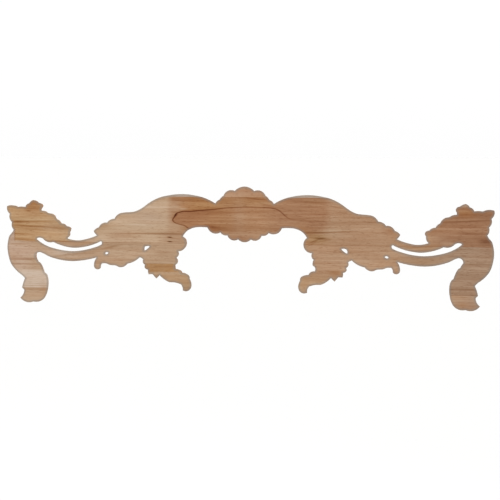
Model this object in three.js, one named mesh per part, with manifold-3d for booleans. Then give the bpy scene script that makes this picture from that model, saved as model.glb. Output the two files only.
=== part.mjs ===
import * as THREE from 'three';
import { mergeVertices } from 'three/addons/utils/BufferGeometryUtils.js';
import Module from 'manifold-3d';

// Carved wood applique: a shell between two arched scrolls, whose leaves run out along paired stems
// to an end leaf with a crest and a scrolled leg. The flat side that is glued down lies in the plane
// Y = 0 and faces +Y, the carving faces -Y, and the middle of the shell is at X = 0, Z = 0.

// Sizes in millimetres
const length = 600; // from end to end
const edgeThickness = 7; // every edge, which is also the ground that the carving stands on
const shellRise = 9; // the boss of the shell above the ground
const petalRise = 6.5; // the shell's petals
const scrollRise = 7; // the band and the beads of each scroll
const leafRise = 6; // the lobes of the leaves
const veinRise = 7; // the vein along the middle of a leaf
const bodyRise = 3.5; // the swelling under the lobes of a leaf
const stemRise = 4; // the two stems on each side
const legRise = 6; // the scrolled legs and the beads along them
const eyeRise = 8; // the round eye of each scroll and at the head of each leg
const sink = 2; // how deep the foot of a carved form goes into the ground
const chordError = 0.25; // how far a facet of the edge may stand off its true arc

// The drawing is squared up. Every place and width below is in squares, and these make up the length
const squaresAlong = 600;
const square = length / squaresAlong;

// The right half of the edge, from the top of the middle round to the bottom of the middle. Each row is
// a corner and the bow of the arc that leads to it: its rise as a share of its chord, outward if positive
const topMiddle = [0, 34];
const shellTop = [[12, 28.6, 0.1], [23.7, 26.4, 0.16], [25.7, 22.8, 0], [30.6, 18, 0.06], [36, 13.2, 0.08]];
const archTop = [[60, 22.5, 0.05], [95, 22.4, 0.05], [120, 12.1, 0.06], [135, 2.9, -0.04], [150, 0.9, 0]];
const upperLeaf = [[162.3, -6.8, 0.15], [171.7, -11.7, 0.12], [182.3, -17.8, 0.17], [188.8, -22.5, 0.1]];
const upperStem = [[184.9, -27.7, 0.04], [200, -32.8, -0.03], [222.5, -31.8, -0.08]];
const endLeaf = [
  [219.4, -24, 0.15], [217.9, -20, 0.1], [223.2, -16.8, 0.15], [230.4, -13.3, 0.12],
  [235.9, -8, 0.08], [246.5, -0.5, 0.15], [255.3, 2.3, 0.08],
];
const crest = [
  [255.4, 4.6, 0], [258.5, 12, 0.33], [265.8, 15.2, 0.07], [270.7, 11.3, 0.11], [276, 6.6, 0.14],
];
const endTop = [[285.8, 6.5, 0.05], [299.3, 7.6, 0.11], [299.4, 2.5, 0.1]];
const endSide = [[296.2, -2.2, 0.03], [293.5, -12.4, 0.16], [291.5, -22, 0.14]];
const legBack = [
  [296.5, -28.7, -0.05], [299.8, -43, 0.05], [295.5, -64, 0.05], [285, -76, 0.05], [277.7, -82.3, -0.04],
];
const heel = [[281.6, -94.2, 0.03], [278.8, -96.8, -0.05], [284, -106.7, -0.12]];
const sole = [[267, -111.4, 0.18], [250.3, -102.8, 0.19]];
const legFront = [
  [248, -81, 0.07], [252.4, -74.3, 0.12], [256.5, -64.3, 0.03], [260, -61.3, 0.12], [263.7, -55.3, 0.04],
];
const lowerStem = [[255, -50.4, -0.31], [237, -57.5, 0.04], [205, -59.2, 0.05], [185.4, -55.1, 0.02]];
const curl = [[188.8, -64, 0.08], [180.2, -67.8, 0.42], [178.5, -62.5, -0.1]];
const outerLeaf = [[169, -64, -0.1], [160.5, -65, 0.02], [146.4, -62.2, 0.21], [130.9, -54.2, 0.08]];
const outerTeeth = [
  [126.5, -56.7, -0.11], [126.7, -60.7, 0.1], [124.2, -63.2, 0.08], [124.5, -66.8, 0.1], [120.3, -69.2, 0.12],
  [119.6, -74.9, 0.08], [114.7, -74.7, 0.04], [110, -80, 0.02], [105.7, -75.9, 0.02],
];
const tail = [
  [94, -84, 0.06], [79.4, -86.5, -0.05], [76.9, -94, -0.12], [66, -89, 0.27],
  [68.1, -79.5, 0.09], [69, -75.6, 0.13],
];
const innerTeeth = [
  [78.4, -72.5, 0.1], [81, -69, 0.1], [86, -67.8, 0], [83.6, -61, -0.24],
  [84.6, -54, 0.1], [82.3, -51.3, 0], [82.5, -46, 0.03],
];
const scrollEye = [[76.4, -27.5, 0.37]];
const archUnder = [[70.5, -20.4, -0.05], [54, -15.9, -0.08], [45.8, -16.3, -0.03]];
const shellBottom = [[29.8, -22.2, 0.24], [21.1, -25.7, 0.15], [7.9, -30.4, 0.25], [0, -33.8, 0.1]];

// What is pierced through on each side: the slit between the stems, and two small holes between leaves
const slit = [
  [178.6, -37.7, 0.2], [179.8, -34.9, 0.25], [215, -43.5, -0.06], [240.5, -36.6, -0.05], [247.5, -36.8, 0.03],
  [254.6, -32.3, -0.06], [260.5, -31.9, 0.1], [261.8, -33.4, 0.2], [238, -44.8, 0.06], [215, -47.6, 0.03],
  [179.6, -39.1, 0.05],
];
const leafHole = [[118.2, -40.4, 0.08], [124.2, -40.9, 0.1], [125.1, -45.8, 0.15]];
const pinHole = [[170.4, -49.1, 0.27], [174.9, -50.1, 0.27]];

const wasm = await Module();
wasm.setup();

// A place on the arc between two corners, by its share of the arc
function onArc([fromX, fromZ], [toX, toZ, bow], share) {
  const halfTurn = 2 * Math.atan(2 * bow);
  const reach = bow === 0 ? share : Math.sin(halfTurn * share) / Math.sin(halfTurn);
  const chord = new THREE.Vector2(toX - fromX, toZ - fromZ);
  chord.rotateAround(new THREE.Vector2(), halfTurn * (1 - share)).multiplyScalar(reach);
  return [fromX + chord.x, fromZ + chord.y];
}

// The corners joined by arcs, with only as many points on each arc as its size needs
function traced(start, corners) {
  const points = [];
  let from = start;
  for (const to of corners) {
    const halfTurn = Math.abs(2 * Math.atan(2 * to[2]));
    const chord = Math.hypot(to[0] - from[0], to[1] - from[1]) * square;
    const radius = chord / (2 * Math.sin(halfTurn));
    const halfStep = Math.acos(Math.max(0, 1 - chordError / radius));
    const pieces = halfTurn === 0 ? 1 : Math.ceil(halfTurn / halfStep);
    for (let k = 1; k <= pieces; k++) {
      points.push(onArc(from, to, k / pieces));
    }
    from = to;
  }
  return points;
}

const mirrored = ([x, z]) => [-x, z];
const toScale = ([x, z]) => new THREE.Vector2(x * square, z * square);

// The whole blank, pierced, with straight sides and of any depth from its flat side
function blank(depth) {
  const half = traced(topMiddle, [
    ...shellTop, ...archTop, ...upperLeaf, ...upperStem, ...endLeaf, ...crest, ...endTop, ...endSide,
    ...legBack, ...heel, ...sole, ...legFront, ...lowerStem, ...curl, ...outerLeaf, ...outerTeeth,
    ...tail, ...innerTeeth, ...scrollEye, ...archUnder, ...shellBottom,
  ]);
  const otherHalf = half.slice(0, -1).map(mirrored);
  const shape = new THREE.Shape([topMiddle, ...otherHalf, ...half.reverse()].map(toScale));
  for (const opening of [slit, leafHole, pinHole]) {
    const hole = traced(opening.at(-1), opening);
    shape.holes.push(new THREE.Path(hole.map(toScale)), new THREE.Path(hole.map(mirrored).map(toScale)));
  }
  const board = new THREE.ExtrudeGeometry(shape, { depth, bevelEnabled: false });
  return solid(board.rotateX(Math.PI / 2));
}

function solid(geometry) {
  geometry.deleteAttribute('normal');
  geometry.deleteAttribute('uv');
  const merged = mergeVertices(geometry);
  return new wasm.Manifold(new wasm.Mesh({
    numProp: 3,
    vertProperties: Float32Array.from(merged.attributes.position.array),
    triVerts: Uint32Array.from(merged.index.array),
  }));
}

// A value on the way along a row of values
function along(values, share) {
  const place = share * (values.length - 1);
  const low = Math.min(Math.floor(place), values.length - 2);
  return THREE.MathUtils.lerp(values[low], values[low + 1], place - low);
}

// A carved ridge on a curved spine: half an ellipse across, with its own half width and rise all the way.
// Its spine is cut into stations, and its section into facets
function ridge({ spine, halfWidths, rises, stations = 6, facets = 4 }) {
  const curve = new THREE.SplineCurve(spine.map(toScale));
  const positions = [];
  for (let k = 0; k <= stations; k++) {
    const share = k / stations;
    const middle = curve.getPoint(share);
    const forward = curve.getTangent(share);
    const halfWidth = along(halfWidths, share) * square;
    const crown = along(rises, share) + sink;
    for (let j = 0; j <= facets; j++) {
      const angle = Math.PI * j / facets;
      const across = -halfWidth * Math.cos(angle);
      positions.push(middle.x - forward.y * across);
      positions.push(sink - edgeThickness - crown * Math.sin(angle));
      positions.push(middle.y + forward.x * across);
    }
  }
  const indices = [];
  const at = (k, j) => k * (facets + 1) + j;
  for (let k = 0; k < stations; k++) {
    for (let j = 0; j < facets; j++) {
      indices.push(at(k, j), at(k + 1, j), at(k + 1, j + 1));
      indices.push(at(k, j), at(k + 1, j + 1), at(k, j + 1));
    }
    indices.push(at(k, 0), at(k + 1, facets), at(k + 1, 0));
    indices.push(at(k, 0), at(k, facets), at(k + 1, facets));
  }
  for (let j = 1; j < facets; j++) {
    indices.push(at(0, 0), at(0, j), at(0, j + 1));
    indices.push(at(stations, 0), at(stations, j + 1), at(stations, j));
  }
  const geometry = new THREE.BufferGeometry();
  geometry.setAttribute('position', new THREE.Float32BufferAttribute(positions, 3));
  geometry.setIndex(indices);
  return solid(geometry);
}

const shares = (values, whole) => values.map((share) => share * whole);
const between = (first, last, share) => first.map((value, axis) => value + (last[axis] - value) * share);

// One sharp petal for each lobe between the corners of an edge, from its root to just past the lobe's crown
const pastCrown = 1.06;
function petals(start, corners, rootOf, rise) {
  const forms = [];
  let from = start;
  corners.forEach((to, k) => {
    const crown = onArc(from, to, 0.5);
    const root = rootOf((k + 0.5) / corners.length, crown);
    const halfWidth = Math.hypot(to[0] - from[0], to[1] - from[1]) / 2;
    forms.push({
      spine: [root, between(root, crown, pastCrown)],
      halfWidths: shares([0.35, 0.85, 1.15, 0.8], halfWidth),
      rises: shares([0.45, 0.9, 1, 0.35], rise),
      stations: 2,
      facets: 2,
    });
    from = to;
  });
  return forms;
}

// Petals whose roots lie in a row between two places
function leafPetals(start, corners, firstRoot, lastRoot) {
  return petals(start, corners, (share) => between(firstRoot, lastRoot, share), leafRise);
}

function bead(spine, halfWidth, rise, stations) {
  const halfWidths = shares([1, 1, 0.5], halfWidth);
  return { spine, halfWidths, rises: shares([1, 1, 0.6], rise), stations, facets: 3 };
}

// The raised vein along the middle of a leaf, which stands over the ribs of its lobes
const veinHalfWidth = 2.4;
function vein(spine, stations = 6) {
  return bead(spine, veinHalfWidth, veinRise, stations);
}

// The low swelling that a leaf or a scroll is carved on
function swelling(spine, halfWidths) {
  return { spine, halfWidths, rises: shares([0.6, 1, 1, 1, 0.6], bodyRise), stations: 4, facets: 3 };
}

function stem(spine, halfWidths) {
  return { spine, halfWidths, rises: shares([0.1, 0.8, 1, 1, 1, 0.8, 0.1], stemRise), stations: 8 };
}

function dome([x, z], radius, rise) {
  return {
    spine: [[x - radius, z], [x + radius, z]],
    halfWidths: shares([0.25, 0.8, 1, 0.8, 0.25], radius),
    rises: shares([0.1, 0.8, 1, 0.8, 0.1], rise),
    facets: 6,
  };
}

// The shell: a boss, and petals that spread from it to every lobe, also where the scrolls come in
const petalRoot = 0.3; // where a petal starts, as a share of the way from the boss to the lobe
const fromBoss = (share, crown) => crown.map((value) => value * petalRoot);
const middleTop = petals([-12, 28.6], [[12, 28.6, 0.22]], fromBoss, petalRise);
const middleBottom = petals([7.9, -30.8], [[-7.9, -30.8, 0.2]], fromBoss, petalRise);
const sidePetals = petals([12, 28.6], [
  [23.7, 26.4, 0.16], [30.6, 18, 0.1], [36, 13.2, 0.08], [42.5, -0.5, 0.2], [46, -16.7, 0.2],
  ...shellBottom.slice(0, 3),
], fromBoss, petalRise);
const boss = dome([0, -1], 12, shellRise);

// The scroll: a band on a swelling, which winds up round an eye, and a bead along each edge of the arch
const scroll = [
  swelling([[42, -1], [62, 3], [82, 1], [100, -8], [114, -20]], [12, 17, 19, 19, 15]),
  {
    spine: [
      [36, 0], [58, 8.5], [78, 9.5], [94, 0], [99, -15],
      [96, -30], [87, -40.5], [77.5, -39.5], [76.5, -32.5], [82, -31.5],
    ],
    halfWidths: [4, 7.5, 7.5, 7.5, 7, 6, 5, 3.8, 3, 2.4],
    rises: shares([0.3, 1, 1, 1, 1, 1, 1, 0.95, 0.85, 0.7], scrollRise),
    stations: 15,
  },
  bead([[39, 10.5], [60, 18.6], [78, 20.2], [95, 18.4], [118, 9], [134, -0.6], [150, -3.5], [164, -12]],
    3.2, scrollRise, 9),
  bead([[48, -13], [60, -12.8], [72, -17.5], [80, -25], [85, -33]], 2.8, scrollRise, 7),
  dome([80.5, -36.5], 3.6, eyeRise),
];

// The leaves that grow out of the scroll: along the arch, down to the tail, and out to the curl
const archLeaf = [
  swelling([[104, -8], [122, -13], [142, -16], [160, -18], [178, -22]], [13, 15, 14, 10, 6]),
  ...leafPetals([120, 12.1], [[135, 2.9, 0], [150, 0.9, 0.05], ...upperLeaf], [106, -12], [164, -24]),
  vein([[104, -14], [130, -19.5], [156, -23], [186, -24.5]]),
];
const hangingLeaf = [
  swelling([[100, -36], [104, -50], [101, -65], [91, -76], [71, -90]], [14, 17, 15, 11, 6]),
  ...leafPetals([126.5, -56.7],
    [[124.6, -64, 0.16], [120.6, -70, 0.26], [114.9, -74.8, 0.41], [105.7, -76, 0.4]], [108, -38], [99, -66]),
  ...leafPetals([105.7, -76], [[94, -84, 0.06], [80, -86.5, 0.1]], [98, -66], [88, -76]),
  ...leafPetals([69, -75.6], [[80, -70.5, 0.15], [86, -63, 0.1], [84.4, -54, 0.2], [82.5, -46, 0.2]],
    [88, -79], [102, -42]),
  vein([[104, -32], [107, -50], [101, -66], [89, -78], [73, -87], [70, -93]], 8),
];
const curlLeaf = [
  ...leafPetals([178.5, -62.5], outerLeaf, [164, -54], [120, -33]),
  vein([[114, -27], [135, -42], [155, -51], [176, -56], [185, -61], [184, -68]], 8),
];

// The two stems, one on each side of the slit
const stems = [
  stem([[140, -26], [168, -31.5], [190, -35.8], [215, -38.8], [238, -34], [256, -27], [272, -19]],
    [2.5, 4.4, 4.6, 4.6, 4.6, 4, 2.5]),
  stem([[130, -34], [158, -42], [188, -49], [215, -53.4], [243, -49.5], [264, -41], [280, -32]],
    [3, 5, 5.8, 6, 6, 5, 3]),
];

// The end leaf, the three buds of its crest, and the corner at the top
const endMotif = [
  swelling([[288, -12], [270, -12], [250, -14], [234, -20], [224, -26]], [14, 15, 13, 10, 6]),
  ...leafPetals([222.5, -31.8], [[219.4, -24, 0.15], [223.2, -16.8, 0.37], ...endLeaf.slice(3)],
    [238, -26], [270, -20]),
  ...leafPetals([276, 6.6], endTop.slice(0, 2), [276, -14], [284, -10]),
  ...leafPetals([299.4, 2.5], endSide, [284, -8], [280, -22]),
  ...leafPetals([255.4, 4.6], [[258.5, 12, 0.33], [270.7, 11.3, 0.27], [276, 6.6, 0.14]],
    [263, 2], [268, 2]),
  vein([[286, -26], [262, -21.5], [240, -23.5], [220, -23]]),
];

// The leg: a broad S with a bead along each edge, an eye at its head, and toes at its foot
const leg = [
  {
    spine: [[280, -24], [286, -40], [281, -58], [270, -72], [263, -86], [264, -98], [272, -105]],
    halfWidths: [9, 13, 15, 13, 13, 13, 9],
    rises: shares([0.6, 0.8, 0.85, 0.8, 0.75, 0.7, 0.5], legRise),
    stations: 9,
  },
  bead([[290, -22], [294.5, -32], [296.3, -45], [292, -62], [282.5, -74], [272, -84]], 2.8, legRise, 8),
  bead([[266, -50], [266, -60], [258, -74], [252, -86], [254.5, -100], [265, -107.5], [279, -107]],
    2.8, legRise, 9),
  ...leafPetals([277.7, -82.3], [[281.6, -94.2, 0.03], [284, -106.7, 0.05]], [268, -84], [266, -98]),
  dome([273, -44], 6, eyeRise),
];

const oneSide = [
  ...sidePetals, ...scroll, ...archLeaf, ...hangingLeaf, ...curlLeaf, ...stems, ...endMotif, ...leg,
];
const otherSide = oneSide.map((form) => ({ ...form, spine: form.spine.map(mirrored) }));

// The ground and everything that stands on it, cut to the edge
const rough = 10; // how far the rough block stands out all round before it is cut
const rises = [shellRise, petalRise, scrollRise, leafRise, veinRise, bodyRise, stemRise, legRise, eyeRise];
const highest = Math.max(...rises);
const ground = new THREE.BoxGeometry(length + 2 * rough, edgeThickness + rough, length + 2 * rough);
ground.translate(0, (rough - edgeThickness) / 2, 0);
let carved = solid(ground);
for (const form of [boss, ...middleTop, ...middleBottom, ...oneSide, ...otherSide]) {
  carved = carved.add(ridge(form));
}
const { vertProperties, triVerts } = carved.intersect(blank(edgeThickness + highest + rough)).getMesh();

const geometry = new THREE.BufferGeometry();
geometry.setAttribute('position', new THREE.BufferAttribute(vertProperties, 3));
geometry.setIndex(new THREE.BufferAttribute(triVerts, 1));
geometry.computeVertexNormals();

const wood = new THREE.MeshStandardMaterial({ color: 0xb08a66, roughness: 0.7, metalness: 0 });
const applique = new THREE.Mesh(geometry, wood);
applique.name = 'applique';

const group = new THREE.Group();
group.add(applique);

export default group;
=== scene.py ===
import bpy
import math
import numpy as np
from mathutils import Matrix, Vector, geometry, kdtree


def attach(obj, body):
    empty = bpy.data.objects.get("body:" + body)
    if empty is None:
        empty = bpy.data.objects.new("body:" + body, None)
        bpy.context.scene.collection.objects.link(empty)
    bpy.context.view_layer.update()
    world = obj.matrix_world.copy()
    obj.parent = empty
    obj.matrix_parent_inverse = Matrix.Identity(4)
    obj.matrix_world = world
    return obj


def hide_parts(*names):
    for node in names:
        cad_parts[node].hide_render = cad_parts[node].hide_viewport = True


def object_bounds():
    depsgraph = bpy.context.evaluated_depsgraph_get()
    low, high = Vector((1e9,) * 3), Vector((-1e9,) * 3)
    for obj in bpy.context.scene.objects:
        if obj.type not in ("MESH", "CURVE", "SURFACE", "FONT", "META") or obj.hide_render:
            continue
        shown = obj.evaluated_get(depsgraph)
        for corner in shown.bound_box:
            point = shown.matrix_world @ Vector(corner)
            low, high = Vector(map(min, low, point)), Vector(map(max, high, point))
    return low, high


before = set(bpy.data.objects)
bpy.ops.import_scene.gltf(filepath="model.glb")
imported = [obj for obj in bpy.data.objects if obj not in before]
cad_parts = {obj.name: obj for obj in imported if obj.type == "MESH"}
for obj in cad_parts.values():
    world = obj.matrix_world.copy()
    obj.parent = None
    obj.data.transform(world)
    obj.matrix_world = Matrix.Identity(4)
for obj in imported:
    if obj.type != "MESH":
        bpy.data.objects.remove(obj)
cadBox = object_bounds()  # lowest and highest corner of the solid, in metres
mm = 0.001

studio = {
    "cameraPlace": (-0.3075, 1.8364, 0.1201),  # a little to the right of the flat side and above it
    "cameraAim": (-0.0068, 0.0, -0.0431),
    "lens": 110.7,
    "sensor": 36.0,
    "photoSide": 500.0,  # pixels along each side of the photo
    "farthest": 100.0,  # metres
    "floorDrop": 0.9,  # how far the floor lies under the feet
    "floorRadius": 40.0,
    "floorSides": 64,
    "floorTone": (0.82, 0.82, 0.815),
    "floorRoughness": 0.9,
    "floorShine": 0.1,
    "skyHorizon": 1.0,
    "skyTop": 1.35,
    "skyBottom": 0.85,
    "lights": {  # place and size in metres, and watts
        "carvedSideLight": ((-0.9, -1.1, 0.9), 0.7, 9.0),
        "flatSideLight": ((0.9, 1.4, 1.1), 1.2, 2.0),
    },
}

block = {
    "edge": 7.0,  # thickness at every edge, which is also the ground that the carving stands on
    "sink": 2.0,  # how deep the foot of a carved form goes into the ground
    "step": 0.82,  # spacing of the fine mesh on the carved side
    "flatStep": 1.9,  # spacing on the flat side
    "edgeStep": 0.9,  # spacing along the edge
    "arris": 0.28,  # the eased corner of the flat side
    "roundOver": 4.2,  # the rounded corner of the carved side
    "sharpOut": 60.0,  # degrees that an outward corner turns before it is kept sharp
    "sharpIn": 40.0,  # the same for an inward corner
    "sharpNotch": 17.0,  # the same for an inward corner between two lobes
    "lean": 0.6,  # how far the sawn edge leans in on its way to the carved side
    "groove": 0.75,  # how deep the fine lines are cut
    "grooveHalf": 0.8,
    "grooveFade": 0.12,  # the share of a form at each end over which its lines fade out
    "grooveFull": 4.0,  # the half width from which on a form's lines have their full depth
    "pastCrown": 1.06,  # how far a lobe's petal runs past the crown of the lobe, as a share
    "bossShare": 0.3,  # where the shell's petals start on the way to the edge
    "gridGap": 0.75,  # how near the grid comes to the edge on the carved side, in steps
    "ringGap": 0.45,  # how far the ring of places beside that edge stands from it, in steps
    "flatGap": 1.6,  # the same two on the flat side, in millimetres
    "flatRing": 1.0,
    "softenings": 2,
    "hollowSpread": 11,  # how many neighbours away the heights are compared with
    "sharpAngle": 50,  # degrees from which on an edge is shaded sharp
    "farAway": 99.0,  # written where the growth line isn't
    "lineFoot": -60.0,  # how far down the wood inside the growth line reaches
}


def makeCamera(scene):
    lens = bpy.data.cameras.new("photoCamera")
    lens.sensor_width = studio["sensor"]
    lens.lens = studio["lens"]
    lens.clip_end = studio["farthest"]
    camera = bpy.data.objects.new("photoCamera", lens)
    scene.collection.objects.link(camera)
    place = Vector(studio["cameraPlace"])
    camera.location = place
    camera.rotation_euler = (Vector(studio["cameraAim"]) - place).to_track_quat("-Z", "Y").to_euler()
    scene.camera = camera


# The soft white surround, whose brightness runs from the bottom over the horizon to the top
def makeSurround(scene):
    world = bpy.data.worlds.new("softWhite")
    world.use_nodes = True
    scene.world = world
    nodes, links = world.node_tree.nodes, world.node_tree.links
    heading = nodes.new("ShaderNodeTexCoord")
    split = nodes.new("ShaderNodeSeparateXYZ")
    links.new(heading.outputs["Generated"], split.inputs[0])
    brightness = nodes.new("ShaderNodeFloatCurve")  # its values end at 1, so it holds half of each brightness
    curve = brightness.mapping.curves[0]
    curve.points[0].location = (0.0, studio["skyBottom"] / 2)
    curve.points[1].location = (1.0, studio["skyTop"] / 2)
    curve.points.new(0.5, studio["skyHorizon"] / 2)
    brightness.mapping.update()
    upward = nodes.new("ShaderNodeMapRange")
    upward.inputs["From Min"].default_value = -1.0
    links.new(split.outputs["Z"], upward.inputs["Value"])
    links.new(upward.outputs["Result"], brightness.inputs["Value"])
    double = nodes.new("ShaderNodeMath")
    double.operation = "MULTIPLY"
    double.inputs[1].default_value = 2.0
    links.new(brightness.outputs["Value"], double.inputs[0])
    links.new(double.outputs["Value"], nodes["Background"].inputs["Strength"])
    nodes["Background"].inputs["Color"].default_value = (1.0, 1.0, 1.0, 1.0)


def makeLights(scene):
    for name, (place, size, watts) in studio["lights"].items():
        data = bpy.data.lights.new(name, "AREA")
        data.energy = watts
        data.size = size
        light = bpy.data.objects.new(name, data)
        light.location = place
        light.rotation_euler = (-Vector(place)).to_track_quat("-Z", "Y").to_euler()
        scene.collection.objects.link(light)


def makeFloor(scene):
    mesh = bpy.data.meshes.new("floor")
    sides = studio["floorSides"]
    around = [2 * math.pi * k / sides for k in range(sides)]
    reach, level = studio["floorRadius"], cadBox[0].z - studio["floorDrop"]
    corners = [(reach * math.cos(a), reach * math.sin(a), level) for a in around]
    mesh.from_pydata(corners, [], [range(sides)])
    floor = bpy.data.objects.new("floor", mesh)
    scene.collection.objects.link(floor)
    paint = bpy.data.materials.new("paleFloor")
    paint.use_nodes = True
    shader = paint.node_tree.nodes["Principled BSDF"]
    shader.inputs["Base Color"].default_value = (*studio["floorTone"], 1.0)
    shader.inputs["Roughness"].default_value = studio["floorRoughness"]
    shader.inputs["Specular IOR Level"].default_value = studio["floorShine"]
    mesh.materials.append(paint)


def makeStudio():
    scene = bpy.context.scene
    scene.view_settings.view_transform = "Standard"
    makeCamera(scene)
    makeSurround(scene)
    makeLights(scene)
    makeFloor(scene)
    print("studio: camera, soft surround, two lights and a floor")


# The sawn edge, taken from the solid's flat side: closed rows of places across and up, in millimetres
def edgeLoops(node):
    spots = [(v.co.x / mm, v.co.y / mm, v.co.z / mm) for v in node.data.vertices]
    keys = [(round(x, 3), round(z, 3)) for x, y, z in spots]
    edges = {}
    for face in node.data.polygons:
        if face.normal.y < 0.99 or min(spots[v][1] for v in face.vertices) < -0.01:
            continue
        ring = [keys[v] for v in face.vertices]
        for pair in zip(ring, ring[1:] + ring[:1]):
            if edges.pop(pair[::-1], None) is None:
                edges[pair] = True
    after = dict(edges.keys())
    loops = []
    while after:
        spot = next(iter(after))
        loop = []
        while spot in after:
            loop.append(spot)
            spot = after.pop(spot)
        loops.append(np.array(loop))
    return loops


def unit(rows):
    return rows / np.maximum(np.linalg.norm(rows, axis=1, keepdims=True), 1e-9)


# Arcs run smoothly through the corners of a loop, and sharp tips and notches stay sharp
def smoothed(loop):
    ahead = np.roll(loop, -1, 0) - loop
    length = np.linalg.norm(ahead, axis=1)
    lead, back = unit(ahead), unit(np.roll(ahead, 1, 0))
    backLength = np.roll(length, 1)
    tangent = unit(lead * backLength[:, None] + back * length[:, None])
    cross = back[:, 0] * lead[:, 1] - back[:, 1] * lead[:, 0]
    turn = -np.degrees(np.arctan2(cross, (back * lead).sum(1)))  # positive where the wood stands out
    notch = (np.roll(turn, 1) > 0) & (np.roll(turn, -1) > 0)  # between two lobes
    sharp = (turn > block["sharpOut"]) | (turn < -block["sharpIn"]) | notch & (turn < -block["sharpNotch"])
    rows = []
    for i, here in enumerate(loop):
        j = (i + 1) % len(loop)
        leave = lead[i] if sharp[i] else tangent[i]
        arrive = lead[i] if sharp[j] else tangent[j]
        if sharp[i] and not sharp[j]:
            leave = 2 * (lead[i] @ arrive) * lead[i] - arrive
        if sharp[j] and not sharp[i]:
            arrive = 2 * (lead[i] @ leave) * lead[i] - leave
        pieces = max(1, round(length[i] / block["edgeStep"]))
        t = (np.arange(pieces) / pieces)[:, None]
        rows.append(
            (2 * t**3 - 3 * t**2 + 1) * here
            + (t**3 - 2 * t**2 + t) * length[i] * leave
            + (3 * t**2 - 2 * t**3) * loop[j]
            + (t**3 - t**2) * length[i] * arrive
        )
    low = np.array([cadBox[0].x, cadBox[0].z]) / mm
    high = np.array([cadBox[1].x, cadBox[1].z]) / mm
    return np.clip(np.vstack(rows), low, high)


# A loop moved into the wood by a small distance
def inset(loop, distance):
    back, lead = unit(loop - np.roll(loop, 1, 0)), unit(np.roll(loop, -1, 0) - loop)
    along = unit(back + lead)
    return loop + distance * np.column_stack([along[:, 1], -along[:, 0]])


# Places on a close triangular grid inside the loops, at least a gap away from their edges
def fillPlaces(loops, step, gap):
    tree = kdtree.KDTree(sum(len(loop) for loop in loops))
    for k, (x, z) in enumerate(np.vstack(loops)):
        tree.insert((x, z, 0), k)
    tree.balance()
    start = np.vstack(loops)
    end = np.vstack([np.roll(loop, -1, 0) for loop in loops])
    rowHeight = step * math.sqrt(3) / 2
    places = []
    for row in range(math.ceil((start[:, 1].max() - start[:, 1].min()) / rowHeight)):
        z = start[:, 1].min() + (row + 0.5) * rowHeight
        crossing = (start[:, 1] <= z) != (end[:, 1] <= z)
        a, b = start[crossing], end[crossing]
        walls = np.sort(a[:, 0] + (z - a[:, 1]) / (b[:, 1] - a[:, 1]) * (b[:, 0] - a[:, 0]))
        shift = 0.5 * (row % 2)
        for left, right in zip(walls[::2], walls[1::2]):
            count = np.arange(math.ceil(left / step - shift), math.floor(right / step - shift) + 1)
            places += [(x, z) for x in (count + shift) * step if tree.find((x, z, 0))[2] > gap]
    return np.array(places)


# How far each place is from the nearest edge
def edgeGaps(loops, places):
    fine = np.vstack([loop + (np.roll(loop, -1, 0) - loop) * t for loop in loops for t in (0, 0.33, 0.67)])
    tree = kdtree.KDTree(len(fine))
    for k, (x, z) in enumerate(fine):
        tree.insert((x, z, 0), k)
    tree.balance()
    return np.array([tree.find((x, z, 0))[2] for x, z in places])


# Triangles between loops and loose places, without those in the openings
def triangulated(loops, loose):
    places = np.vstack(loops + loose)
    edges = []
    loopOf = np.full(len(places), -1)
    first = 0
    for k, loop in enumerate(loops):
        count = len(loop)
        edges += [(first + i, first + (i + 1) % count) for i in range(count)]
        loopOf[first : first + count] = k
        first += count
    made = geometry.delaunay_2d_cdt([Vector(p) for p in places], edges, [], 2, 1e-5)
    places = np.array([v[:] for v in made[0]])
    faces = np.array([f for f in made[2] if len(f) == 3])
    areas = [loop[:, 0] @ (np.roll(loop[:, 1], -1) - np.roll(loop[:, 1], 1)) for loop in loops]
    outer = int(np.argmax(np.abs(areas)))
    if len(made[0]) == len(loopOf):
        corners = loopOf[faces]
        odd = (corners[:, 0] == corners[:, 1]) & (corners[:, 1] == corners[:, 2]) & (corners[:, 0] >= 0)
        keep = np.ones(len(faces), bool)
        for f in np.where(odd & (corners[:, 0] != outer))[0]:
            keep[f] = not holds(loops[corners[f, 0]], places[faces[f]].mean(0))
        faces = faces[keep]
    else:
        print("WARNING: the edge crosses itself,", len(made[0]) - len(loopOf), "places were added")
    return places, faces


# Whether a place is inside a loop
def holds(loop, place):
    a, b = loop, np.roll(loop, -1, 0)
    level = (a[:, 1] <= place[1]) != (b[:, 1] <= place[1])
    a, b = a[level], b[level]
    walls = a[:, 0] + (place[1] - a[:, 1]) / (b[:, 1] - a[:, 1]) * (b[:, 0] - a[:, 0])
    return (walls > place[0]).sum() % 2 == 1


# Sections of the carved forms: u is 0 on the middle line and 1 at the side
def roundSection(u):
    return np.sqrt(np.maximum(0, 1 - u**2))


def lobeSection(u):
    return 1 - u**1.5


def channelSection(u):
    bed = 0.80 + 0.20 * (u / 0.66) ** 2
    rim = np.sqrt(np.maximum(0, 1 - ((u - 0.66) / 0.34) ** 2))
    return np.where(u < 0.66, bed, rim)


# A curved line through the places, as a bent batten gives it
def batten(places, steps=10):
    p = np.array(places, float)
    p = np.vstack([p[:1], p, p[-1:]])
    t = (np.arange(steps) / steps)[:, None]
    rows = []
    for a, b, c, d in zip(p[:-3], p[1:-2], p[2:-1], p[3:]):
        leave, arrive = (c - a) / 2, (d - b) / 2
        cubic = 2 * b - 2 * c + leave + arrive
        square = 3 * c - 3 * b - 2 * leave - arrive
        rows.append(cubic * t**3 + square * t**2 + leave * t + b)
    return np.vstack(rows + [p[-1:]])


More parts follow.
